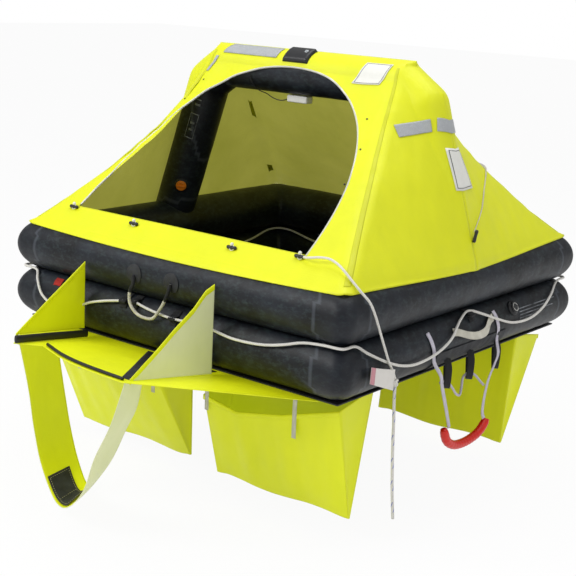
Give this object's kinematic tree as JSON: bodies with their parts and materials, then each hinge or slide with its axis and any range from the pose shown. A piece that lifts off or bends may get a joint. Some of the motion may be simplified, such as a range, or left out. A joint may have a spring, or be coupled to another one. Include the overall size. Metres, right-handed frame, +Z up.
{
  "type": "inflatable liferaft",
  "caption": "Square inflatable liferaft with two stacked tubes, a tent canopy on an arch tube, an open front door, boarding ramp, stirrup, side ladder and water pockets.",
  "frame": {"origin": "centre of the floor's underside", "axes": "+Z up out of the floor, -Y towards the door and boarding ramp, +X towards the side with the ladder"},
  "size_m": [1.7353, 2.1114, 1.6626],
  "materials": {
    "black_rubber": "satin",
    "yellow_cloth": "matt",
    "pale_cloth": "matt",
    "floor_cloth": "matt",
    "black_cloth": "matt",
    "white_rope": "matt",
    "white_webbing": "matt",
    "black_plastic": "satin",
    "orange_plastic": "gloss",
    "white_plastic": "satin",
    "reflective_tape": "satin",
    "red_plastic": "satin",
    "clear_dome": "clear",
    "bottle_steel": "satin"
  },
  "bodies": {
    "raft": {"lower_tube": "black_rubber", "upper_tube": "black_rubber", "arch_tube": "black_rubber", "canopy_front": "yellow_cloth", "canopy_back": "yellow_cloth", "ramp_floor": "yellow_cloth", "ramp_left_flap": "yellow_cloth", "stirrup_strap": "yellow_cloth", "water_pocket_front_right": "yellow_cloth", "water_pocket_front_left": "yellow_cloth", "water_pocket_back_right": "yellow_cloth", "water_pocket_back_left": "yellow_cloth", "ramp_right_flap": "pale_cloth", "floor_sheet": "floor_cloth", "ladder_sleeve": "black_cloth", "ramp_left_batten": "black_cloth", "ramp_front_batten": "black_cloth", "ramp_panel": "black_cloth", "stirrup_tread": "black_cloth", "front_handle_patch_left": "black_cloth", "front_handle_patch_right": "black_cloth", "bottle_strap_front": "black_cloth", "bottle_strap_rear": "black_cloth", "cabin_lamp_cable": "black_cloth", "gas_hose": "black_cloth", "outer_lifeline": "white_rope", "inner_lifeline": "white_rope", "hand_line": "white_rope", "painter_line": "white_rope", "front_handle": "white_webbing", "side_handle": "white_webbing", "ladder_webbing_left": "white_webbing", "ladder_webbing_right": "white_webbing", "ladder_rung": "white_webbing", "canopy_tie": "white_webbing", "door_piping": "white_webbing", "arch_valve_body": "black_plastic", "tube_valve_body": "black_plastic", "roof_lamp_base": "black_plastic", "sill_toggle_1": "black_plastic", "sill_toggle_2": "black_plastic", "sill_toggle_3": "black_plastic", "sill_toggle_4": "black_plastic", "cabin_lamp": "white_plastic", "painter_tag": "white_plastic", "capacity_patch": "white_plastic", "side_patch": "white_plastic", "roof_reflector": "reflective_tape", "ridge_end_tape": "reflective_tape", "end_reflector_front": "reflective_tape", "end_reflector_rear": "reflective_tape", "back_reflector_left": "reflective_tape", "back_reflector_right": "reflective_tape", "ladder_step": "red_plastic", "pull_tab": "red_plastic", "roof_lamp_dome": "clear_dome", "gas_bottle": "bottle_steel", "bottle_valve": "bottle_steel"},
    "arch_cap": {"arch_valve_cap": "orange_plastic"},
    "tube_cap": {"tube_valve_cap": "white_plastic"}
  },
  "joints": [
    {"name": "arch_valve_cap_turn", "type": "hinge", "parent": "raft", "child": "arch_cap", "pos_m": [-0.6347, -0.06741, 0.49029], "axis": [0.6105, -0.766, -0.2013], "range_deg": [0, 90]},
    {"name": "tube_valve_cap_turn", "type": "hinge", "parent": "raft", "child": "tube_cap", "pos_m": [0.82593, 0.318, 0.1625], "axis": [0.866, 0, 0.5], "range_deg": [0, 90]}
  ]
}
